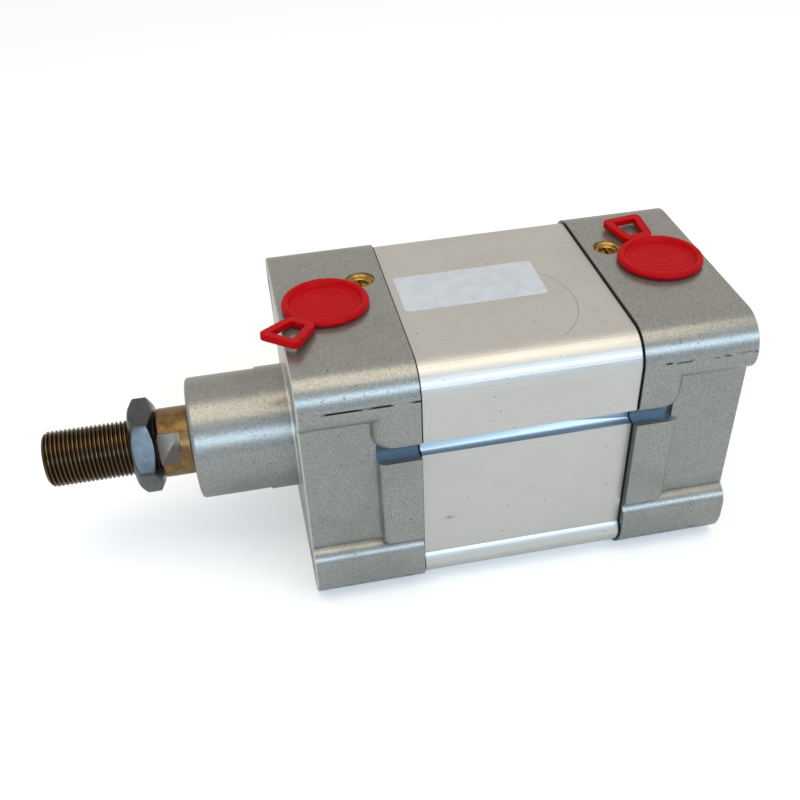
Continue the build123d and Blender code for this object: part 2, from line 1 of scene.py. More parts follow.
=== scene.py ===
# %% [markdown]
# # A pneumatic cylinder, dressed for its portrait
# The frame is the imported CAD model: caps, barrel, screws, piston and the rest, each a node at its
# place. Here every node gets its finish, and the pieces whose surface carries the likeness are
# modelled again: the rod with its thread, the nut with its rolled edges, the two soft plugs, and
# the barrel with the step in its sides. A thin label film is added on top.

from math import cos, hypot, pi, radians, sin

import bpy
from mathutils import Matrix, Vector


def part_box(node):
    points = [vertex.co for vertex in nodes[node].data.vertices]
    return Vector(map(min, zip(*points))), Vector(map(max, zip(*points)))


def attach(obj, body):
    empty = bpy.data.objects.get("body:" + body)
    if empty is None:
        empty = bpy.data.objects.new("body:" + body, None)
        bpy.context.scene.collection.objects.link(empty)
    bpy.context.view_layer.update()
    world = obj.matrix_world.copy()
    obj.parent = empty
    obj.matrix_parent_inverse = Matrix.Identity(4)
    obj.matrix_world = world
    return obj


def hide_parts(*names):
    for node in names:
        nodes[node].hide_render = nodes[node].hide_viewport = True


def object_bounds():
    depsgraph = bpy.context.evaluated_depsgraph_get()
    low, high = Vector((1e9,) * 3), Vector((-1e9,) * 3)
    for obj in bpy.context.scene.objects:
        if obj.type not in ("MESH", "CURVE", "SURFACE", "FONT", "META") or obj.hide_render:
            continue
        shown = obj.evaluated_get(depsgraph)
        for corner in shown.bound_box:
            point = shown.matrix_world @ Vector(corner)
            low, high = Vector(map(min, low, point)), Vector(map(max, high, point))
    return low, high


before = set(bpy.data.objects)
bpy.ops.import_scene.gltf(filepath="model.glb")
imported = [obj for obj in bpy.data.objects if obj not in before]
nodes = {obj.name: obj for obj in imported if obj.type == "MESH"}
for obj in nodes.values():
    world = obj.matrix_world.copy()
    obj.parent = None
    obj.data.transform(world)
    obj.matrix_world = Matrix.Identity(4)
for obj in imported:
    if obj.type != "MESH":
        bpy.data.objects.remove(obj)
cad_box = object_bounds()
print("CAD box in metres", [[round(c, 4) for c in corner] for corner in cad_box])

# %% [markdown]
# ## Working in millimetres
# The drawing of a cylinder is in millimetres and the scene is in metres, so one factor turns the
# one into the other. The main places are read from the frame, so that every finish and piece
# follows it.

# %% Units and places
MM = 0.001


def box_mm(name):
    """The lowest and highest corner of a CAD node, in millimetres."""
    return [[c / MM for c in corner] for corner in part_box(name)]


HALF_CAP = box_mm("front_cap")[1][2]
FRONT_SEAM = box_mm("barrel_tube")[1][0]
REAR_SEAM = box_mm("barrel_tube")[0][0]
REAR_FACE = box_mm("rear_cap")[0][0]
MIDDLE_X = REAR_FACE / 2
ROD_END = box_mm("piston_rod")[1][0]
NUT_BACK, NUT_FRONT = box_mm("rod_nut")[0][0], box_mm("rod_nut")[1][0]
BARREL_TOP = box_mm("barrel_tube")[1][2]
proud = round(HALF_CAP - BARREL_TOP, 2)
print("caps stand", proud, "mm proud of the barrel; seams at", FRONT_SEAM, REAR_SEAM)

# %% [markdown]
# ## Colours and nodes
# A finish is built from nodes. One small helper adds a node, sets its fields, and links or sets
# its inputs, and another turns the hex colours of a paint chart into linear light. A pattern's
# scale is worked out from the real size of its features, and a ramp runs between the two tones of
# a finish.


# %% Colours and the size of a pattern
def paint(code):
    """A hex sRGB colour as linear red, green, blue and alpha."""
    parts = [int(code[i : i + 2], 16) / 255 for i in (1, 3, 5)]
    linear = [c / 12.92 if c <= 0.04045 else ((c + 0.055) / 1.055) ** 2.4 for c in parts]
    return (*linear, 1.0)


def per(size_mm):
    """The texture scale at which one feature of a pattern is this many millimetres wide."""
    return 1 / (size_mm * MM)


def tone_stops(ramp, *stops):
    """Sets the places and the colours between which a colour ramp runs."""
    for element, (place, code) in zip(ramp.color_ramp.elements, stops):
        element.position = place
        element.color = paint(code)


print("a pattern of 2 mm has the scale", per(2))


# %% The node helper
def add_node(tree, kind, inputs=None, **fields):
    """Adds a node, sets its fields, and sets or links its inputs by name or number."""
    made = tree.nodes.new(kind)
    for field, value in fields.items():
        setattr(made, field, value)
    for place, value in (inputs or {}).items():
        if isinstance(value, bpy.types.NodeSocket):
            tree.links.new(value, made.inputs[place])
        else:
            made.inputs[place].default_value = value
    return made


print("inputs are linked where they get a socket, and set where they get a value")


# %% Start a material and give it to a piece
def start_material(name, **shader_values):
    """A new material with its shader and the piece's own coordinates."""
    material = bpy.data.materials.new(name)
    material.use_nodes = True
    tree = material.node_tree
    shader = tree.nodes["Principled BSDF"]
    for socket, value in shader_values.items():
        shader.inputs[socket.replace("_", " ")].default_value = value
    where = add_node(tree, "ShaderNodeTexCoord").outputs["Object"]
    return material, tree, shader, where


def wear(piece, material):
    """Gives a piece one material all over."""
    piece.data.materials.clear()
    piece.data.materials.append(material)


print("materials so far:", len(bpy.data.materials))

# %% [markdown]
# ## Marks that several finishes share
# A used cylinder has small nicks, hair scratches and grime in its seams. Each such mark is a
# mask, 0 where the finish is clean and 1 where the mark is. Small spots come from the cells of a
# Voronoi pattern: near its cell's centre a point is in the spot, and the cell's own random colour
# decides whether it has one at all. Stretched along one way, the same spots are scratches. A line
# at a known place is the distance to a plane.

# %% Spots
SPOT_FADE = 1.4  # a spot has faded out at this many times its radius


def meet(tree, *masks):
    """A mask where all of some masks meet: their product."""
    common = masks[0]
    for mask in masks[1:]:
        product = add_node(tree, "ShaderNodeMath", {0: common, 1: mask}, operation="MULTIPLY")
        common = product.outputs[0]
    return common


def spots(tree, where, apart, size, share, stretch=(1, 1, 1), turn=0):
    """Spots of a size, in mm, in a share of the cells of a grid that is some mm wide."""
    laid = add_node(
        tree,
        "ShaderNodeMapping",
        {"Vector": where, "Rotation": (0, 0, radians(turn)), "Scale": stretch},
        vector_type="TEXTURE",
    )
    grid = {"Vector": laid.outputs[0], "Scale": per(apart)}
    cells = add_node(tree, "ShaderNodeTexVoronoi", grid)
    reach = size / apart / 2
    fade = {0: cells.outputs["Distance"], 1: reach, 2: SPOT_FADE * reach, 3: 1.0, 4: 0.0}
    inside = add_node(tree, "ShaderNodeMapRange", fade)
    draw = {0: cells.outputs["Color"], 1: share}
    chosen = add_node(tree, "ShaderNodeMath", draw, operation="LESS_THAN")
    return meet(tree, inside.outputs[0], chosen.outputs[0])


print("a spot fades out at", SPOT_FADE, "times its radius")


# %% Lines at known places
def line_at(tree, coordinate, places, reach, soft):
    """A mask round one or more places, in mm, of a coordinate: solid for reach, then fading."""
    nearest = None
    for place in places:
        away = {0: coordinate, 1: place * MM}
        gap = add_node(tree, "ShaderNodeMath", away, operation="SUBTRACT").outputs[0]
        size = add_node(tree, "ShaderNodeMath", {0: gap}, operation="ABSOLUTE").outputs[0]
        if nearest is not None:
            pair = {0: nearest, 1: size}
            size = add_node(tree, "ShaderNodeMath", pair, operation="MINIMUM").outputs[0]
        nearest = size
    fade = {0: nearest, 1: reach * MM, 2: (reach + soft) * MM, 3: 1.0, 4: 0.0}
    return add_node(tree, "ShaderNodeMapRange", fade).outputs[0]


print("seams get a line at x", FRONT_SEAM, "and", REAR_SEAM)


# %% Cloudy patches
def patches(tree, where, size, start, full, stretch=(1, 1, 1), seed=0.0):
    """A mask of cloudy patches of a size in mm; the noise fades in from start to full."""
    spread = {"Vector": where, "Scale": stretch}
    laid = add_node(tree, "ShaderNodeMapping", spread, vector_type="TEXTURE")
    noise = add_node(
        tree,
        "ShaderNodeTexNoise",
        {"Vector": laid.outputs[0], "W": seed, "Scale": per(size), "Detail": 4.0},
        noise_dimensions="4D",
    )
    fade = add_node(tree, "ShaderNodeMapRange", {0: noise.outputs["Fac"], 1: start, 2: full})
    return fade.outputs[0]


def lay_over(tree, colour, layers):
    """Lays tints over a colour, each where its mask is, and returns the colour."""
    for mask, tint in layers:
        mix = {0: mask, 6: colour, 7: paint(tint)}
        colour = add_node(tree, "ShaderNodeMix", mix, data_type="RGBA").outputs[2]
    return colour


print("patches and layers ready")

# %% Painted shade and bluish reflection in the sensor grooves
GROOVE_Z, GROOVE_HALF = 16.6, 4.4  # the groove's middle line, and half its height
LIP_DEPTH = 1.2
CAP_RUN = 14.2  # how far the groove runs on into each cap
SHARP_EDGE = 0.1


def painted_groove_shade_and_reflection(tree, x, y, z):
    """Painted shade and bluish reflection inside the sensor grooves, from just behind their lips.
    """
    out = add_node(tree, "ShaderNodeMath", {0: y}, operation="ABSOLUTE").outputs[0]
    lip = {0: out, 1: (HALF_CAP - LIP_DEPTH) * MM}
    behind_lip = add_node(tree, "ShaderNodeMath", lip, operation="LESS_THAN").outputs[0]
    level = line_at(tree, z, [GROOVE_Z], GROOVE_HALF, SHARP_EDGE)
    between_ends = line_at(tree, x, [MIDDLE_X], FRONT_SEAM - MIDDLE_X + CAP_RUN, SHARP_EDGE)
    return meet(tree, behind_lip, level, between_ends)


print("groove from z", GROOVE_Z - GROOVE_HALF, "to", GROOVE_Z + GROOVE_HALF)

# %% [markdown]
# ## The caps' finish: silver lacquer on die-cast aluminium
# The castings are sprayed with a silver lacquer full of tiny aluminium flakes. It reads as a mid
# grey with a hint of green, and the light falls off fast across its rounds, because flakes lie
# flat in the film. Where a cap knocks against things, along its outermost line, the lacquer is
# scuffed black. Its end faces and their edges are painted lighter, a painted highlight with some
# rubbed wear. Grime and a painted gap shadow sit in the seam to the barrel. The flakes are drawn
# at 0.4 mm, coarser than real ones, so that they show.

# %% Silver lacquer
silver_lacquer, tree, shader, where = start_material(
    "silver_lacquer_on_cast_aluminium", Metallic=0.75
)
axes = add_node(tree, "ShaderNodeSeparateXYZ", {0: where})
x, y, z = axes.outputs["X"], axes.outputs["Y"], axes.outputs["Z"]
flakes = add_node(tree, "ShaderNodeTexVoronoi", {"Vector": where, "Scale": per(0.4)})
lacquer_tone = add_node(tree, "ShaderNodeValToRGB", {"Fac": flakes.outputs["Color"]})
tone_stops(lacquer_tone, (0.15, "#8A8B86"), (0.85, "#A2A29D"))
print("lacquer of two greys, with flakes of 0.4 mm")

# %% Scuffs and scrapes of the lacquer
SCUFF_Z, SCRAPE_Z = 37.3, -41.5  # the heights of the scuffed and of the scraped line
side_out = add_node(tree, "ShaderNodeMath", {0: y}, operation="ABSOLUTE").outputs[0]
scuffed = meet(
    tree,
    line_at(tree, side_out, [HALF_CAP], 0.5, 0.2),
    line_at(tree, z, [SCUFF_Z], 0.25, 0.25),
    patches(tree, where, 4, 0.47, 0.52, (2, 1, 0.5)),
)
scraped = meet(  # on the sides only, not on the end faces
    tree,
    line_at(tree, z, [SCRAPE_Z], 1.2, 1.0),
    line_at(tree, side_out, [HALF_CAP], 3.0, 1.0),
    patches(tree, where, 2, 0.58, 0.62, (1.6, 1, 0.6), 5.0),
)
# painted highlight: the end faces and their edges are painted lighter, partly as rubbed wear
face_rub_and_highlight = line_at(tree, x, [0, REAR_FACE], 0.45, 0.15)
print("scuffs at z", SCUFF_Z, "and scrapes at z", SCRAPE_Z)

# %% Layers of the lacquer
lacquer_layers = [
    (patches(tree, where, 30, 0.55, 0.9), "#7B7E76"),
    (spots(tree, where, 1.3, 0.3, 0.42), "#666964"),
    (spots(tree, where, 2.6, 0.4, 0.44, (1.0, 1.6, 1.0), 35), "#51544F"),
    (spots(tree, where, 1.8, 0.3, 0.45, (7.0, 0.7, 1.0), 60), "#6F726D"),
    (face_rub_and_highlight, "#C4C5BE"),
    # painted shade and bluish reflection inside the sensor grooves
    (painted_groove_shade_and_reflection(tree, x, y, z), "#8796A0"),
    # painted gap shadow with grime: a dark line along both seams to the barrel
    (line_at(tree, x, [FRONT_SEAM, REAR_SEAM], 0.05, 0.2), "#5E615F"),
    (scuffed, "#17181A"),
    (scraped, "#26292B"),
]
lacquered = lay_over(tree, lacquer_tone.outputs["Color"], lacquer_layers)
tree.links.new(lacquered, shader.inputs["Base Color"])
print("silver lacquer with", len(lacquer_layers), "kinds of wear")

# %% Gloss and peel of the lacquer
gloss_cloud = patches(tree, where, 12, 0.2, 0.8)
lacquer_gloss = add_node(tree, "ShaderNodeMapRange", {0: gloss_cloud, 3: 0.25, 4: 0.33})
tree.links.new(lacquer_gloss.outputs[0], shader.inputs["Roughness"])
peel = add_node(
    tree, "ShaderNodeTexNoise", {"Vector": where, "Scale": per(0.5), "Detail": 2.0}
)
peel_bump = add_node(
    tree,
    "ShaderNodeBump",
    {"Height": peel.outputs["Fac"], "Strength": 0.2, "Distance": 0.04 * MM},
)
tree.links.new(peel_bump.outputs[0], shader.inputs["Normal"])
for name in ("front_cap", "rear_cap"):
    wear(nodes[name], silver_lacquer)
print("both caps wear", silver_lacquer.name)

# %% [markdown]
# ## The barrel's finish: satin anodised extrusion
# The barrel is pushed through a die, which leaves hair-fine lines along X, and then anodised to
# an even, pale satin. It is lighter and a little warmer than the caps. Its skin shows nicks, hair
# scratches, one long curved scratch on top, and a brown smudge on the side.

# %% Satin anodising
satin_anodising, tree, shader, where = start_material(
    "satin_anodised_aluminium_extrusion", Metallic=0.85
)
axes = add_node(tree, "ShaderNodeSeparateXYZ", {0: where})
x, y, z = axes.outputs["X"], axes.outputs["Y"], axes.outputs["Z"]
along = add_node(tree, "ShaderNodeMapping", {"Vector": where, "Scale": (0.02, 1.0, 1.0)})
lines = add_node(
    tree, "ShaderNodeTexNoise", {"Vector": along.outputs[0], "Scale": per(0.3), "Detail": 3.0}
)
barrel_tone = add_node(tree, "ShaderNodeValToRGB", {"Fac": lines.outputs["Fac"]})
tone_stops(barrel_tone, (0.3, "#C6C4BE"), (0.7, "#CECCC6"))
print("die lines of 0.3 mm along X")

# %% The long scratch and the smudge
SCRATCH_CENTRE, SCRATCH_R = (-72.0, 14.0, 46.5), 28.0
SCRATCH_RUN_X, SCRATCH_RUN_Y = 10.0, 19.0  # how much of the ring is left, each way
SMUDGE_CENTRE, SMUDGE_R = (-48.5, 46.5, -17.0), 4.5


def distance_to(tree, where, centre):
    """How far a point is from a centre that is given in millimetres."""
    ends = {0: where, 1: [c * MM for c in centre]}
    return add_node(tree, "ShaderNodeVectorMath", ends, operation="DISTANCE").outputs["Value"]


scratch = meet(
    tree,
    line_at(tree, distance_to(tree, where, SCRATCH_CENTRE), [SCRATCH_R], 0.05, 0.12),
    line_at(tree, x, [SCRATCH_CENTRE[0] - SCRATCH_R], SCRATCH_RUN_X, 1.0),
    line_at(tree, y, [SCRATCH_CENTRE[1] + 2.0], SCRATCH_RUN_Y, 3.0),
)
smudge = meet(
    tree,
    line_at(tree, distance_to(tree, where, SMUDGE_CENTRE), [0], 0.5, SMUDGE_R - 0.5),
    patches(tree, where, 2.5, 0.5, 0.65, (2, 1, 0.6)),
)
print("scratch of radius", SCRATCH_R, "mm, smudge of radius", SMUDGE_R, "mm")

# %% Layers and gloss of the anodising
barrel_layers = [
    (patches(tree, where, 22, 0.5, 0.95, (2, 1, 1), 3.0), "#B9B8B2"),
    (spots(tree, where, 1.7, 0.26, 0.40), "#9A9993"),
    (spots(tree, where, 3.0, 0.36, 0.40, (1.8, 1.0, 1.0), 25), "#6E6E6B"),
    (spots(tree, where, 2.0, 0.26, 0.42, (9.0, 0.8, 1.0), 130), "#A19F99"),
    (scratch, "#8E8D88"),
    (smudge, "#6B5138"),
    # painted shade and bluish reflection inside the sensor groove
    (painted_groove_shade_and_reflection(tree, x, y, z), "#BBC6CE"),
    # painted gap shadow with grime: a dark line along both seams to the caps
    (line_at(tree, x, [FRONT_SEAM, REAR_SEAM], 0.4, 0.3), "#26292B"),
]
anodised = lay_over(tree, barrel_tone.outputs["Color"], barrel_layers)
tree.links.new(anodised, shader.inputs["Base Color"])
handled = patches(tree, where, 15, 0.3, 0.8, (1, 1, 1), 7.0)
handled_gloss = add_node(tree, "ShaderNodeMapRange", {0: handled, 3: 0.33, 4: 0.41})
tree.links.new(handled_gloss.outputs[0], shader.inputs["Roughness"])
line_bump = add_node(
    tree,
    "ShaderNodeBump",
    {"Height": lines.outputs["Fac"], "Strength": 0.15, "Distance": 0.02 * MM},
)
tree.links.new(line_bump.outputs[0], shader.inputs["Normal"])
wear(nodes["barrel_tube"], satin_anodising)
print("satin anodising with", len(barrel_layers), "kinds of wear on the barrel")

# %% [markdown]
# ## The rod's finish: oil-browned steel
# Old oil has browned the steel. On the thread the crests carry a painted highlight and the roots
# a painted shade, so the tone follows the distance from the rod's axis. Elsewhere the film is
# blotchy, gold where it is thin.

# %% Oil-browned steel
CREST_R, ROOT_R = 10.0, 9.08
ROD_R = 12.5
oil_browned, tree, shader, where = start_material("oil_browned_steel", Metallic=1.0)
film = add_node(
    tree, "ShaderNodeTexNoise", {"Vector": where, "Scale": per(3.5), "Detail": 3.0}
)
oil_tone = add_node(tree, "ShaderNodeValToRGB", {"Fac": film.outputs["Fac"]})
tone_stops(oil_tone, (0.36, "#6A5136"), (0.62, "#8D7047"))
print("oil film in blotches of 3.5 mm")

# %% Roots, crests and flats
THREAD_LENGTH = 40
SHOULDER = ROD_END - THREAD_LENGTH
FLATS_MIDDLE, FLATS_HALF = SHOULDER - 3.5, 3.6
FLATS_R, FLATS_BAND = 11.6, 0.75  # how far out the flats lie
across = add_node(tree, "ShaderNodeMapping", {"Vector": where, "Scale": (0.0, 1.0, 1.0)})
from_axis = add_node(
    tree, "ShaderNodeVectorMath", {0: across.outputs[0]}, operation="LENGTH"
).outputs["Value"]
along_rod = add_node(tree, "ShaderNodeSeparateXYZ", {0: where}).outputs["X"]
# painted shade: darker from the thread's crests down to its roots
painted_root_shade = add_node(
    tree,
    "ShaderNodeMapRange",
    {0: from_axis, 1: (CREST_R - 0.08) * MM, 2: (ROOT_R + 0.15) * MM, 3: 0.0, 4: 1.0},
).outputs[0]
# painted highlight along the thread's crests
painted_crest_highlight = line_at(tree, from_axis, [CREST_R], 0.05, 0.05)
on_flats = meet(
    tree,
    line_at(tree, from_axis, [FLATS_R], FLATS_BAND, 0.1),
    line_at(tree, along_rod, [FLATS_MIDDLE], FLATS_HALF, 0.4),
)
rod_layers = [(painted_root_shade, "#33271B"), (painted_crest_highlight, "#8C7657"), (on_flats, "#6A6158")]
browned = lay_over(tree, oil_tone.outputs["Color"], rod_layers)
tree.links.new(browned, shader.inputs["Base Color"])
print("the thread's roots, its crests and the wrench flats have tints of their own")

# %% Gloss and turning lines of the rod
oil_gloss = add_node(
    tree, "ShaderNodeMapRange", {0: film.outputs["Fac"], 1: 0.3, 2: 0.7, 3: 0.24, 4: 0.40}
)
tree.links.new(oil_gloss.outputs[0], shader.inputs["Roughness"])
turning = add_node(tree, "ShaderNodeMapping", {"Vector": where, "Scale": (1.0, 0.05, 0.05)})
turning_lines = add_node(
    tree,
    "ShaderNodeTexNoise",
    {"Vector": turning.outputs[0], "Scale": per(0.25), "Detail": 2.0},
)
turning_bump = add_node(
    tree,
    "ShaderNodeBump",
    {"Height": turning_lines.outputs["Fac"], "Strength": 0.2, "Distance": 0.03 * MM},
)
tree.links.new(turning_bump.outputs[0], shader.inputs["Normal"])
print("oil-browned steel for the rod")

# %% [markdown]
# ## The nut's finish: bright zinc plating
# Zinc is plated over rolled steel, so the nut is bright and bluish, with fine scratches from its
# wrench and from the other nuts in its box. Its edges come later, as real rounds that catch the
# light.

# %% Bright zinc
bright_zinc, tree, shader, where = start_material("bright_zinc_plating", Metallic=1.0)
cloud = add_node(tree, "ShaderNodeTexNoise", {"Vector": where, "Scale": per(3), "Detail": 3.0})
zinc_tone = add_node(tree, "ShaderNodeValToRGB", {"Fac": cloud.outputs["Fac"]})
tone_stops(zinc_tone, (0.3, "#4E5254"), (0.7, "#5E6264"))
wrench_marks = spots(tree, where, 1.6, 0.25, 0.5, (0.6, 5.0, 5.0), 20)
hair_marks = spots(tree, where, 1.1, 0.12, 0.45, (6.0, 0.5, 0.7), 65)
nut_layers = [(wrench_marks, "#979C9E"), (hair_marks, "#424648")]
plated = lay_over(tree, zinc_tone.outputs["Color"], nut_layers)
tree.links.new(plated, shader.inputs["Base Color"])
print("wrench marks of 0.25 mm and hair marks of 0.12 mm")

# %% Gloss and scratches of the zinc
scratched = add_node(
    tree, "ShaderNodeMath", {0: wrench_marks, 1: hair_marks}, operation="ADD"
).outputs[0]
zinc_gloss = add_node(tree, "ShaderNodeMapRange", {0: scratched, 3: 0.26, 4: 0.42})
tree.links.new(zinc_gloss.outputs[0], shader.inputs["Roughness"])
zinc_bump = add_node(
    tree,
    "ShaderNodeBump",
    {"Height": scratched, "Strength": 0.3, "Distance": 0.02 * MM},
    invert=True,
)
tree.links.new(zinc_bump.outputs[0], shader.inputs["Normal"])
print("bright zinc for the nut")

# %% [markdown]
# ## The plugs' finish: red polyethylene
# The plugs are moulded in soft polyethylene, a waxy plastic with little surface gloss, so its red
# stays deep and light sinks in a little way. Handling has left faint scuffs on it.

# %% Red polyethylene
red_polyethylene, tree, shader, where = start_material(
    "red_polyethylene",
    Roughness=0.42,
    Specular_IOR_Level=0.08,
    Subsurface_Weight=0.06,
    Subsurface_Radius=(1.0, 0.12, 0.08),
    Subsurface_Scale=0.6 * MM,
)
mottle = add_node(tree, "ShaderNodeTexNoise", {"Vector": where, "Scale": per(4), "Detail": 4.0})
red_tone = add_node(tree, "ShaderNodeValToRGB", {"Fac": mottle.outputs["Fac"]})
tone_stops(red_tone, (0.3, "#A60109"), (0.7, "#B3020D"))
rubbed = spots(tree, where, 2.6, 0.3, 0.36, (2.5, 1.0, 1.0), 40)
reddened = lay_over(tree, red_tone.outputs["Color"], [(rubbed, "#C4202C")])
tree.links.new(reddened, shader.inputs["Base Color"])
grain = add_node(tree, "ShaderNodeTexNoise", {"Vector": where, "Scale": per(0.7), "Detail": 3.0})
grain_bump = add_node(
    tree,
    "ShaderNodeBump",
    {"Height": grain.outputs["Fac"], "Strength": 0.35, "Distance": 0.06 * MM},
)
tree.links.new(grain_bump.outputs[0], shader.inputs["Normal"])
print("red polyethylene for the plugs")

# %% [markdown]
# ## Finishes of the small parts
# Brass, dull zinc, rubber and the inner metals are small or hidden. Each has two tones in a grain
# of its real size, its own gloss, and a bump in the same grain.

# %% Simple finishes
SMALL_FINISHES = {
    # name: (dark, light, metallic, roughness, grain in millimetres, bump)
    "turned_brass": ("#8A682F", "#BF9A50", 1.0, 0.28, 0.35, 0.10),
    "dull_zinc_plating": ("#8C9093", "#A9ADAF", 1.0, 0.4, 0.8, 0.10),
    "nitrile_rubber": ("#0C0C0C", "#171717", 0.0, 0.6, 0.5, 0.20),
    "sintered_bronze": ("#7A5326", "#A37A42", 1.0, 0.5, 0.3, 0.30),
    "filled_guide_plastic": ("#B4AE9C", "#C4BEAC", 0.0, 0.5, 0.5, 0.10),
    "turned_aluminium": ("#B0B1B2", "#C6C7C8", 1.0, 0.35, 0.4, 0.10),
    "bonded_magnet": ("#1A1A1C", "#26262A", 0.2, 0.6, 0.4, 0.20),
    "label_film": ("#B9BEC5", "#C1C7CD", 0.0, 0.38, 5.0, 0.05),
}
finishes = {
    "red_polyethylene": red_polyethylene,
    "bright_zinc_plating": bright_zinc,
    "oil_browned_steel": oil_browned,
}
for name, (dark, light, metallic, roughness, grain, strength) in SMALL_FINISHES.items():
    material, tree, shader, where = start_material(name, Metallic=metallic, Roughness=roughness)
    pattern = add_node(
        tree, "ShaderNodeTexNoise", {"Vector": where, "Scale": per(grain), "Detail": 3.0}
    )
    colour = add_node(tree, "ShaderNodeValToRGB", {"Fac": pattern.outputs["Fac"]})
    tone_stops(colour, (0.35, dark), (0.65, light))
    tree.links.new(colour.outputs["Color"], shader.inputs["Base Color"])
    bump = add_node(
        tree,
        "ShaderNodeBump",
        {"Height": pattern.outputs["Fac"], "Strength": strength, "Distance": 0.03 * MM},
    )
    tree.links.new(bump.outputs[0], shader.inputs["Normal"])
    finishes[name] = material
print(len(SMALL_FINISHES), "simple finishes")

# %% Who wears which
WEARS = {
    "turned_brass": [
        "front_cushion_bush", "rear_cushion_bush", "front_cushion_screw", "rear_cushion_screw",
    ],
    "bright_zinc_plating": ["rod_nut"],
    "dull_zinc_plating": ["front_cap_screws", "rear_cap_screws", "piston_nut"],
    "nitrile_rubber": [
        "rod_seal", "front_tube_ring", "rear_tube_ring",
        "front_cushion_seal", "rear_cushion_seal",
        "front_cushion_screw_ring", "rear_cushion_screw_ring",
        "piston_front_seal", "piston_rear_seal", "front_buffer", "rear_buffer",
    ],
    "sintered_bronze": ["rod_bearing"],
    "filled_guide_plastic": ["piston_guide_ring"],
    "turned_aluminium": [
        "piston_front", "piston_rear", "front_cushion_sleeve", "rear_cushion_sleeve",
    ],
    "bonded_magnet": ["piston_magnet"],
    "red_polyethylene": ["front_port_plug", "rear_port_plug"],
    "oil_browned_steel": ["piston_rod"],
}
for name, wearers in WEARS.items():
    for wearer in wearers:
        wear(nodes[wearer], finishes[name])
print(sum(len(wearers) for wearers in WEARS.values()), "more nodes have their finish")

# %% [markdown]
# ## Tools of the bench
# Round pieces are made as on a lathe: a disc is added at one end and extruded along its axis,
# station by station, and each new ring is scaled to its radius. Cuts are Boolean modifiers that
# are applied at once.


# %% The lathe
def lathe(name, stations, axis="X", centre=(0, 0), segments=96):
    """Extrudes a disc through (place, radius) stations along X or Z, in millimetres."""
    bpy.ops.object.select_all(action="DESELECT")
    place, radius = stations[0]
    along_x = axis == "X"
    at = (place, *centre) if along_x else (*centre, place)
    bpy.ops.mesh.primitive_circle_add(
        vertices=segments,
        radius=radius * MM,
        fill_type="NGON",
        location=[c * MM for c in at],
        rotation=(0, radians(90), 0) if along_x else (0, 0, 0),
    )
    piece = bpy.context.object
    piece.name = name
    bpy.ops.object.mode_set(mode="EDIT")
    bpy.ops.mesh.select_all(action="SELECT")
    for next_place, next_radius in stations[1:]:
        step = (next_place - place) * MM
        at = (next_place, *centre) if along_x else (*centre, next_place)
        growth = next_radius / radius
        bpy.ops.mesh.extrude_region_move(
            TRANSFORM_OT_translate={"value": (step, 0, 0) if along_x else (0, 0, step)}
        )
        bpy.ops.transform.resize(
            value=(1, growth, growth) if along_x else (growth, growth, 1),
            center_override=[c * MM for c in at],
        )
        place, radius = next_place, next_radius
    bpy.ops.mesh.select_all(action="SELECT")
    bpy.ops.mesh.normals_make_consistent(inside=False)
    bpy.ops.object.mode_set(mode="OBJECT")
    bpy.ops.object.transform_apply(location=True, rotation=True, scale=True)
    return piece


print("the lathe turns along X or Z")


# %% Shape and cut
def select_only(piece):
    """Makes one piece the selected and active one."""
    bpy.ops.object.select_all(action="DESELECT")
    piece.select_set(True)
    bpy.context.view_layer.objects.active = piece


def shape(piece, kind, **settings):
    """Adds a modifier, sets it, and applies it at once."""
    select_only(piece)
    modifier = piece.modifiers.new(kind.lower(), kind)
    for setting, value in settings.items():
        setattr(modifier, setting, value)
    bpy.ops.object.modifier_apply(modifier=modifier.name)


def cut(piece, tool, operation="DIFFERENCE"):
    """Cuts or trims a piece with a tool, and throws the tool away."""
    shape(piece, "BOOLEAN", object=tool, operation=operation, solver="EXACT")
    bpy.data.objects.remove(tool, do_unlink=True)


def block(low, high):
    """A plain block between two corners in millimetres, used as a cutting tool."""
    bpy.ops.object.select_all(action="DESELECT")
    middle = [(a + b) / 2 * MM for a, b in zip(low, high)]
    bpy.ops.mesh.primitive_cube_add(size=1, location=middle)
    tool = bpy.context.object
    tool.scale = [(b - a) * MM for a, b in zip(low, high)]
    bpy.ops.object.transform_apply(location=True, rotation=True, scale=True)
    return tool


print("cuts use the exact solver")


# %% Finish a piece
def finish_piece(piece, material, body, slot, *replaced, smooth_deg=30):
    """Smooths a piece by angle, gives it its finish, and hands it to its body."""
    select_only(piece)
    bpy.ops.object.shade_smooth_by_angle(angle=radians(smooth_deg))
    wear(piece, material)
    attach(piece, body)
    if replaced:
        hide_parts(*replaced)
    triangles = sum(len(face.vertices) - 2 for face in piece.data.polygons)
    print(piece.name, "has", triangles, "triangles")


print("each finished piece tells its triangles")


# %% [markdown]
# ## The rod and its thread
# The rod is turned bar with an M20x1.5 thread. In the photo the thread's crests catch the light
# one by one, so it has to be real geometry. The bar is made on the lathe, and a V-shaped tool
# swept along a helix by a Screw modifier cuts the groove, as a die does. The two wrench flats are
# plain cuts behind the shoulder.

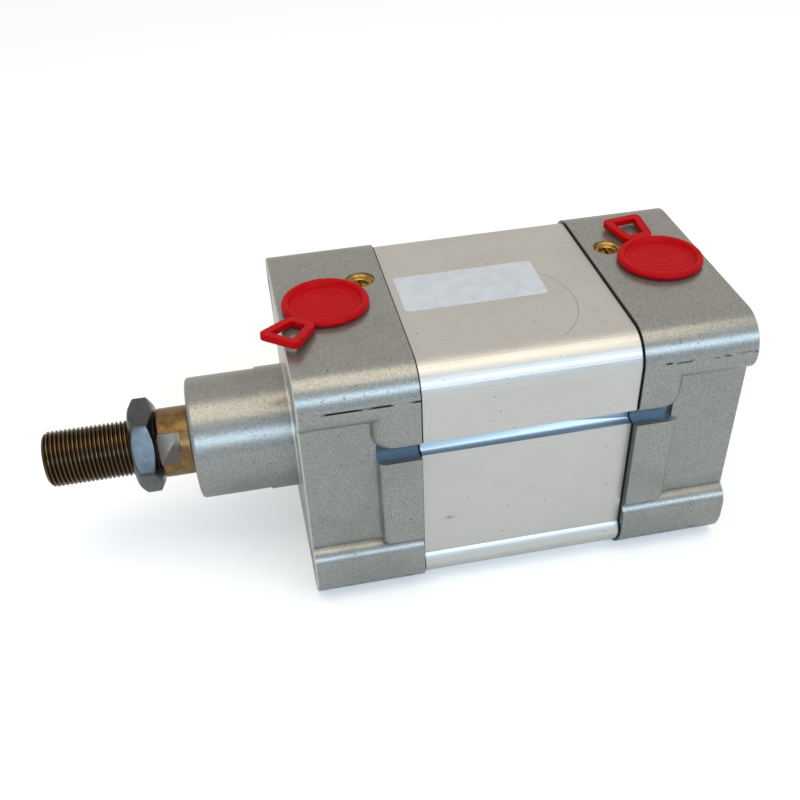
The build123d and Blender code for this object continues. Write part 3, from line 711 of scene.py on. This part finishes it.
# %% Turn the rod's blank
ROD_TAIL = box_mm("piston_rod")[0][0]
PISTON_STEP = -70.7
TAIL_R, NECK_R = 8.0, 9.0  # under the piston, and where the thread runs out
rod = lathe(
    "threaded_rod",
    [
        (ROD_TAIL, 7.0), (ROD_TAIL + 1, TAIL_R), (PISTON_STEP, TAIL_R), (PISTON_STEP, ROD_R),
        (SHOULDER - 1, ROD_R), (SHOULDER - 0.3, ROD_R - 0.3), (SHOULDER, ROD_R - 1),
        (SHOULDER, NECK_R), (SHOULDER + 2.5, NECK_R), (SHOULDER + 3.5, CREST_R),
        (ROD_END - 1.5, CREST_R), (ROD_END - 0.5, CREST_R - 0.9),
        (ROD_END - 0.1, CREST_R - 1.4), (ROD_END, CREST_R - 1.8),
    ],
)
print("rod from x", round(ROD_TAIL, 1), "to", round(ROD_END, 1), "with its shoulder at", SHOULDER)

# %% Cut the two wrench flats
FLATS_ACROSS = 22
FLATS_ANGLE = 23
FLATS_LENGTH = 8
TOOL_OUT, TOOL_HALF = 20, 15  # how far out the tool reaches, and half its height
for side in (1, -1):
    tool = block(
        (SHOULDER - FLATS_LENGTH, side * FLATS_ACROSS / 2, -TOOL_HALF),
        (SHOULDER + 0.5, side * TOOL_OUT, TOOL_HALF),
    )
    tool.rotation_euler.x = radians(FLATS_ANGLE)
    bpy.ops.object.transform_apply(location=False, rotation=True, scale=False)
    cut(rod, tool)
print("flats", FLATS_ACROSS, "mm across")

# %% The thread tool's profile
PITCH = 1.5
THREAD_START, THREAD_END = SHOULDER + 1.2, ROD_END + 2.0
TOOL_TOP = CREST_R + 0.08
TOP_HALF, TIP_HALF = 0.70, 0.19  # half the width of the V at its top and at its tip
bpy.ops.object.select_all(action="DESELECT")
bpy.ops.mesh.primitive_plane_add(size=1, rotation=(radians(90), 0, 0))
cutter = bpy.context.object
for vertex in cutter.data.vertices:
    outer = vertex.co.y > 0
    half_width = TOP_HALF if outer else TIP_HALF
    side = 1 if vertex.co.x > 0 else -1
    vertex.co = (side * half_width * MM, (TOOL_TOP if outer else ROOT_R) * MM, 0)
bpy.ops.object.transform_apply(location=True, rotation=True, scale=True)
cutter.location.x = THREAD_START * MM
bpy.ops.object.transform_apply(location=True, rotation=False, scale=False)
print("tool of", 2 * TOP_HALF, "mm for a pitch of", PITCH)

# %% Sweep the tool and cut the thread
STEPS_A_TURN = 64
turns = int((THREAD_END - THREAD_START) / PITCH)
shape(
    cutter, "SCREW", axis="X", screw_offset=PITCH * MM, iterations=turns,
    steps=STEPS_A_TURN, render_steps=STEPS_A_TURN,
)
bpy.ops.object.mode_set(mode="EDIT")
bpy.ops.mesh.select_all(action="SELECT")
bpy.ops.mesh.remove_doubles(threshold=0.002 * MM)
bpy.ops.mesh.select_all(action="DESELECT")
bpy.ops.mesh.select_non_manifold()
bpy.ops.mesh.edge_face_add()
bpy.ops.mesh.select_all(action="SELECT")
bpy.ops.mesh.normals_make_consistent(inside=False)
bpy.ops.object.mode_set(mode="OBJECT")
print("thread tool of", turns, "turns,", len(cutter.data.polygons), "faces")
cut(rod, cutter)
finish_piece(rod, oil_browned, "rod", "rod_steel", "piston_rod")

# %% [markdown]
# ## The thin nut
# A hexagon nut is a slice of hexagon bar that is turned to a cone at both faces, which leaves the
# curved edges on its flats. It is made the same way: a six-sided bar, trimmed by a lathed double
# cone, then bored. Plating and tumbling have rolled its edges, so a Bevel modifier rounds every
# edge that is sharper than 20 degrees. Those small rounds draw the bright outlines that the photo
# shows.

# %% The nut's hexagon and its double cone
NUT_ACROSS = 30.0
NUT_FACE_R = NUT_ACROSS / 2 - 1.0
NUT_CORNER_R = NUT_ACROSS / 2 / cos(pi / 6)
NUT_SLOPE = 2.32
bpy.ops.object.select_all(action="DESELECT")
bpy.ops.mesh.primitive_cylinder_add(
    vertices=6,
    radius=NUT_CORNER_R * MM,
    depth=(NUT_FRONT - NUT_BACK) * MM,
    location=((NUT_FRONT + NUT_BACK) / 2 * MM, 0, 0),
    rotation=(0, radians(90), 0),
)
nut = bpy.context.object
nut.name = "rolled_nut"
bpy.ops.object.transform_apply(location=True, rotation=True, scale=True)
double_cone = lathe(
    "double_cone",
    [
        (NUT_BACK - 0.01, NUT_FACE_R), (NUT_BACK + NUT_SLOPE, NUT_CORNER_R + 0.3),
        (NUT_FRONT - NUT_SLOPE, NUT_CORNER_R + 0.3), (NUT_FRONT + 0.01, NUT_FACE_R),
    ],
    segments=120,
)
cut(nut, double_cone, "INTERSECT")
print("nut of", NUT_ACROSS, "mm across flats,", round(2 * NUT_CORNER_R, 2), "across corners")

# %% The nut's bore and rolled edges
BORE_R, BORE_MOUTH_R = CREST_R + 0.06, 11.6
BORE_CHAMFER = 0.6
EDGE_ROUND, SHARP_DEG = 0.32, 20
bore = lathe(
    "bore",
    [
        (NUT_BACK - 1, BORE_MOUTH_R), (NUT_BACK + BORE_CHAMFER, BORE_R),
        (NUT_FRONT - BORE_CHAMFER, BORE_R), (NUT_FRONT + 1, BORE_MOUTH_R),
    ],
)
cut(nut, bore)
shape(
    nut, "BEVEL", width=EDGE_ROUND * MM, segments=3,
    limit_method="ANGLE", angle_limit=radians(SHARP_DEG),
)
corner = max((vertex.co for vertex in nut.data.vertices), key=lambda co: hypot(co.y, co.z))
print("nut's corner points to y, z", round(corner.y / MM, 1), round(corner.z / MM, 1))
finish_piece(nut, bright_zinc, "rod_nut", "nut_zinc", "rod_nut", smooth_deg=24)

# %% [markdown]
# ## The red plugs
# A plug is one soft moulding: a shank that grips the port's thread, a dished cap with a thick
# round rim, and a loop to pull it by, whose bars are round too. The cap and the shank are turned
# on the lathe. The loop is a flat frame: a plane with rounded corners, inset, opened, extruded
# and bevelled, then tipped up at its end. Joined and voxel remeshed, the two melt into one skin
# with soft roots, as in the mould.

# %% Plug's turned part
PLUG_SEAT = 47.6
PLUG_R = 15.0
RIM_R = 1.4
RIM_STEPS = 8
DISH_FLOOR, RING_TOP = 0.9, 1.08  # above the seat
DISH_RINGS = 4
RING_R, RING_APART, RING_HALF = 10.2, 2.2, 0.45  # the outer ring, and each ring's half width


def turned_plug(name, centre):
    """Cap and hollow shank of a plug, with faint rings in the dish."""
    outline = [
        (PLUG_SEAT - 0.2, 0.1), (PLUG_SEAT - 0.2, 6.2), (PLUG_SEAT - 9.0, 6.2),
        (PLUG_SEAT - 9.0, 7.1), (PLUG_SEAT - 8.5, 7.5), (PLUG_SEAT, 7.5), (PLUG_SEAT, 13.9),
        (PLUG_SEAT + 0.3, 14.5), (PLUG_SEAT + 0.8, 14.9),
    ]
    for step in range(RIM_STEPS + 1):
        turn = pi * step / RIM_STEPS
        height = PLUG_SEAT + 1.1 + RIM_R * sin(turn)
        outline.append((height, PLUG_R - RIM_R + RIM_R * cos(turn)))
    outline += [(PLUG_SEAT + 1.0, 12.0), (PLUG_SEAT + DISH_FLOOR, 11.6)]
    for ring in range(DISH_RINGS):
        ring_r = RING_R - RING_APART * ring
        outline += [
            (PLUG_SEAT + DISH_FLOOR, ring_r + RING_HALF),
            (PLUG_SEAT + RING_TOP, ring_r),
            (PLUG_SEAT + DISH_FLOOR, ring_r - RING_HALF),
        ]
    outline.append((PLUG_SEAT + DISH_FLOOR, 0.1))
    return lathe(name, outline, "Z", centre, 128)


print("plugs of", 2 * PLUG_R, "mm with", DISH_RINGS, "rings in the dish")

# %% Plug's pull loop
LOOP_ROOT, LOOP_TIP = 13.9, 29.8
ROOT_WIDTH, TIP_WIDTH = 10.6, 15.6
LOOP_CORNER = 2.6
LOOP_LIFT = 0.2
BAR_WIDTH = 3.0
BAR_THICKNESS = 2.3
BAR_ROUND = 1.0


def pull_loop(name, centre, angle, tilt):
    """A flat frame of soft bars, tipped up from the plug's rim, that points to an angle."""
    bpy.ops.object.select_all(action="DESELECT")
    bpy.ops.mesh.primitive_plane_add(size=1)
    loop = bpy.context.object
    loop.name = name
    for vertex in loop.data.vertices:
        at_tip = vertex.co.x > 0
        half_width = (TIP_WIDTH if at_tip else ROOT_WIDTH) / 2
        side = 1 if vertex.co.y > 0 else -1
        vertex.co = ((LOOP_TIP if at_tip else LOOP_ROOT) * MM, side * half_width * MM, 0)
    bpy.ops.object.mode_set(mode="EDIT")
    bpy.ops.mesh.select_all(action="SELECT")
    bpy.ops.mesh.bevel(affect="VERTICES", offset=LOOP_CORNER * MM, segments=8)
    bpy.ops.mesh.inset(thickness=BAR_WIDTH * MM)
    bpy.ops.mesh.delete(type="FACE")
    bpy.ops.mesh.select_all(action="SELECT")
    bpy.ops.mesh.extrude_region_move(
        TRANSFORM_OT_translate={"value": (0, 0, BAR_THICKNESS * MM)}
    )
    bpy.ops.mesh.select_all(action="SELECT")
    bpy.ops.mesh.normals_make_consistent(inside=False)
    pivot = (PLUG_R * MM, 0, 0)
    bpy.ops.transform.rotate(value=radians(tilt), orient_axis="Y", center_override=pivot)
    bpy.ops.object.mode_set(mode="OBJECT")
    shape(
        loop, "BEVEL", width=BAR_ROUND * MM, segments=4,
        limit_method="ANGLE", angle_limit=radians(50),
    )
    loop.location = (centre[0] * MM, centre[1] * MM, (PLUG_SEAT + LOOP_LIFT) * MM)
    loop.rotation_euler.z = radians(angle)
    bpy.ops.object.transform_apply(location=True, rotation=True, scale=True)
    print(name, "reaches up to z", round(max(v.co.z for v in loop.data.vertices) / MM, 2))
    return loop


print("loops of", LOOP_TIP - LOOP_ROOT, "mm, in bars of", BAR_WIDTH, "by", BAR_THICKNESS)

# %% Join, remesh and soften the plugs
PORT_INSET = 22.7  # from the seam to the port's middle
VOXEL, SOFTENINGS = 0.24, 4
PLUGS = {  # where the port is, where the loop points to, and how far it tips up
    "front": ((FRONT_SEAM + PORT_INSET, 0), 51, 6),
    "rear": ((REAR_SEAM - PORT_INSET, 0), -82, 3),
}
for end, (centre, angle, tilt) in PLUGS.items():
    plug = turned_plug(f"{end}_soft_plug", centre)
    loop = pull_loop(f"{end}_pull_loop", centre, angle, tilt)
    select_only(plug)
    loop.select_set(True)
    bpy.ops.object.join()
    shape(plug, "REMESH", mode="VOXEL", voxel_size=VOXEL * MM)
    shape(plug, "SMOOTH", factor=0.5, iterations=SOFTENINGS)
    port = f"{end}_port_plug"
    finish_piece(plug, red_polyethylene, port, "plug_red", port, smooth_deg=180)

# %% [markdown]
# ## The step in the sides
# Seen against the light, the barrel's side is not one plane. Above the sensor groove it is flush
# with the corner, and below it the wall steps in a little, so that the low corner stands out as a
# round bar with a crease along its top. The extrusion's die draws this step. Here a milling
# cutter does: a long block, with the low bar's round taken out of it, passes along each side of a
# copy of the barrel.

# %% Copy the barrel
STEP_DEPTH = 2.4
BAR_R = 8.0
BAR_OUT = BARREL_TOP - 0.2
WELD = 0.001


def own_copy(node_name, name):
    """A merged copy of a CAD node, to be worked on in its place."""
    select_only(nodes[node_name])
    bpy.ops.object.duplicate()
    piece = bpy.context.object
    piece.name = name
    bpy.ops.object.mode_set(mode="EDIT")
    bpy.ops.mesh.select_all(action="SELECT")
    bpy.ops.mesh.remove_doubles(threshold=WELD * MM)
    bpy.ops.mesh.normals_make_consistent(inside=False)
    bpy.ops.object.mode_set(mode="OBJECT")
    return piece


barrel = own_copy("barrel_tube", "stepped_barrel")
print("the barrel's copy has", len(barrel.data.vertices), "points")

# %% Mill the step
BACK, FRONT = REAR_SEAM - 1, FRONT_SEAM + 1
STEP_TOP = GROOVE_Z - 3.0
for side in (1, -1):
    low_y, high_y = sorted((side * (BARREL_TOP - STEP_DEPTH), side * (HALF_CAP + 3)))
    cutter = block((BACK, low_y, -BARREL_TOP + BAR_R - 1), (FRONT, high_y, STEP_TOP))
    bar = lathe(
        "low_bar",
        [(BACK - 1, BAR_R), (FRONT + 1, BAR_R)],
        centre=(side * (BAR_OUT - BAR_R), -BARREL_TOP + BAR_R),
    )
    cut(cutter, bar)
    cut(barrel, cutter)
finish_piece(barrel, satin_anodising, "body", "barrel_anodised", "barrel_tube")
shape(barrel, "WEIGHTED_NORMAL", keep_sharp=True)
print("sides step in by", STEP_DEPTH, "mm below the groove")

# %% [markdown]
# ## The label's film
# A thin film with rounded corners lies on the barrel between the caps. It is a plane with its
# corners bevelled, extruded by a tenth of a millimetre, so that its edge catches a little light.

# %% Label
LABEL_LOW, LABEL_HIGH = (-92.5, -13.5), (-42.5, 9.6)
LABEL_CORNER, LABEL_THICKNESS = 1.5, 0.1
bpy.ops.object.select_all(action="DESELECT")
bpy.ops.mesh.primitive_plane_add(
    size=1,
    location=(
        (LABEL_LOW[0] + LABEL_HIGH[0]) / 2 * MM,
        (LABEL_LOW[1] + LABEL_HIGH[1]) / 2 * MM,
        BARREL_TOP * MM,
    ),
)
label = bpy.context.object
label.name = "bare_label"
label.scale = ((LABEL_HIGH[0] - LABEL_LOW[0]) * MM, (LABEL_HIGH[1] - LABEL_LOW[1]) * MM, 1)
bpy.ops.object.transform_apply(location=True, rotation=True, scale=True)
bpy.ops.object.mode_set(mode="EDIT")
bpy.ops.mesh.select_all(action="SELECT")
bpy.ops.mesh.bevel(affect="VERTICES", offset=LABEL_CORNER * MM, segments=6)
bpy.ops.mesh.select_all(action="SELECT")
bpy.ops.mesh.extrude_region_move(
    TRANSFORM_OT_translate={"value": (0, 0, LABEL_THICKNESS * MM)}
)
bpy.ops.mesh.select_all(action="SELECT")
bpy.ops.mesh.normals_make_consistent(inside=False)
bpy.ops.object.mode_set(mode="OBJECT")
finish_piece(label, finishes["label_film"], "body", "barrel_anodised")

# %% [markdown]
# ## The studio
# A pale floor under the cylinder. A warm softbox hangs overhead and draws the cream band along
# the upper rounds. A wide cool one stands low behind the camera and draws the blue-white band
# under it. The room is white to the camera and dimmer to the metal, which would go flat in a
# white tent.

# %% Floor
FLOOR_SIZE = 6  # metres
FLOOR_LIFT = 0.30  # how much whiter the paper is to the camera alone
bpy.ops.object.select_all(action="DESELECT")
bpy.ops.mesh.primitive_plane_add(size=FLOOR_SIZE, location=(0, 0, cad_box[0][2]))
floor = bpy.context.object
floor.name = "studio_floor"
floor_paper, tree, shader, where = start_material("white_studio_paper", Roughness=0.9)
shader.inputs["Base Color"].default_value = paint("#E9EAEA")
ray = add_node(tree, "ShaderNodeLightPath")
lift = add_node(
    tree, "ShaderNodeMath", {0: ray.outputs["Is Camera Ray"], 1: FLOOR_LIFT}, operation="MULTIPLY"
)
shader.inputs["Emission Color"].default_value = (1, 1, 1, 1)
tree.links.new(lift.outputs[0], shader.inputs["Emission Strength"])
wear(floor, floor_paper)
print("floor at z", round(cad_box[0][2], 4))

# %% World
ROOM_LIGHT = 0.72
world = bpy.data.worlds.new("white_room")
bpy.context.scene.world = world
world.use_nodes = True
tree = world.node_tree
background = tree.nodes["Background"]
ray = add_node(tree, "ShaderNodeLightPath")
seen = add_node(
    tree,
    "ShaderNodeMath",
    {0: ray.outputs["Is Camera Ray"], 1: ray.outputs["Is Transmission Ray"]},
    operation="MAXIMUM",
)
strength = add_node(
    tree, "ShaderNodeMapRange", {"Value": seen.outputs[0], "To Min": ROOM_LIGHT, "To Max": 1.0}
)
tree.links.new(strength.outputs[0], background.inputs["Strength"])
way = add_node(tree, "ShaderNodeTexCoord").outputs["Generated"]
toward_camera = add_node(tree, "ShaderNodeSeparateXYZ", {0: way}).outputs["Y"]
blend = add_node(tree, "ShaderNodeMapRange", {0: toward_camera, 1: -0.6, 2: 0.6})
warm_to_cool = {0: blend.outputs[0], 6: paint("#FFFAF3"), 7: paint("#EAF4FF")}
tint = add_node(tree, "ShaderNodeMix", warm_to_cool, data_type="RGBA")
tint_or_white = {0: seen.outputs[0], 6: tint.outputs[2], 7: (1, 1, 1, 1)}
walls = add_node(tree, "ShaderNodeMix", tint_or_white, data_type="RGBA")
tree.links.new(walls.outputs[2], background.inputs["Color"])
print("room light", ROOM_LIGHT)


# %% Lamps
def softbox(name, place, target, size, radiance, colour):
    """A flat soft lamp at a place in metres, turned to a target; its power follows its size."""
    light = bpy.data.lights.new(name, "AREA")
    light.shape = "RECTANGLE"
    light.size, light.size_y = size
    light.energy = radiance * pi * size[0] * size[1]
    light.color = paint(colour)[:3]
    holder = bpy.data.objects.new(name, light)
    bpy.context.scene.collection.objects.link(holder)
    holder.location = place
    aim = Vector(target) - Vector(place)
    holder.rotation_euler = aim.to_track_quat("-Z", "Y").to_euler()
    print(name, "gives", round(light.energy, 2), "watts")


MIDDLE = (MIDDLE_X * MM, 0, 0)
softbox("warm_overhead_softbox", (-0.05, 0.16, 0.85), MIDDLE, (1.0, 0.55), 1.8, "#FFEDD2")
softbox("cool_low_softbox", (-0.35, 1.14, 0.64), MIDDLE, (2.0, 0.34), 4.4, "#C8E4FF")

# %% [markdown]
# ## The camera
# The camera stands where the photographer's stood. Its lens, place and turn were fitted to known
# corners of the part, and the small shift moves the frame without turning the camera.

# %% Camera
CAMERA_PLACE = (0.00985, 0.29441, 0.22405)
CAMERA_TURN = (48.954, 2.036, 168.703)
camera_data = bpy.data.cameras.new("photographer")
camera_data.sensor_fit = "HORIZONTAL"
camera_data.sensor_width = 36
camera_data.lens = 44.94
camera_data.shift_y = 0.1
camera = bpy.data.objects.new("photographer", camera_data)
bpy.context.scene.collection.objects.link(camera)
camera.location = CAMERA_PLACE
camera.rotation_euler = [radians(turn) for turn in CAMERA_TURN]
bpy.context.scene.camera = camera
bpy.context.scene.view_settings.view_transform = "Standard"
print("lens of", camera_data.lens, "mm,", round(Vector(CAMERA_PLACE).length, 3), "m away")
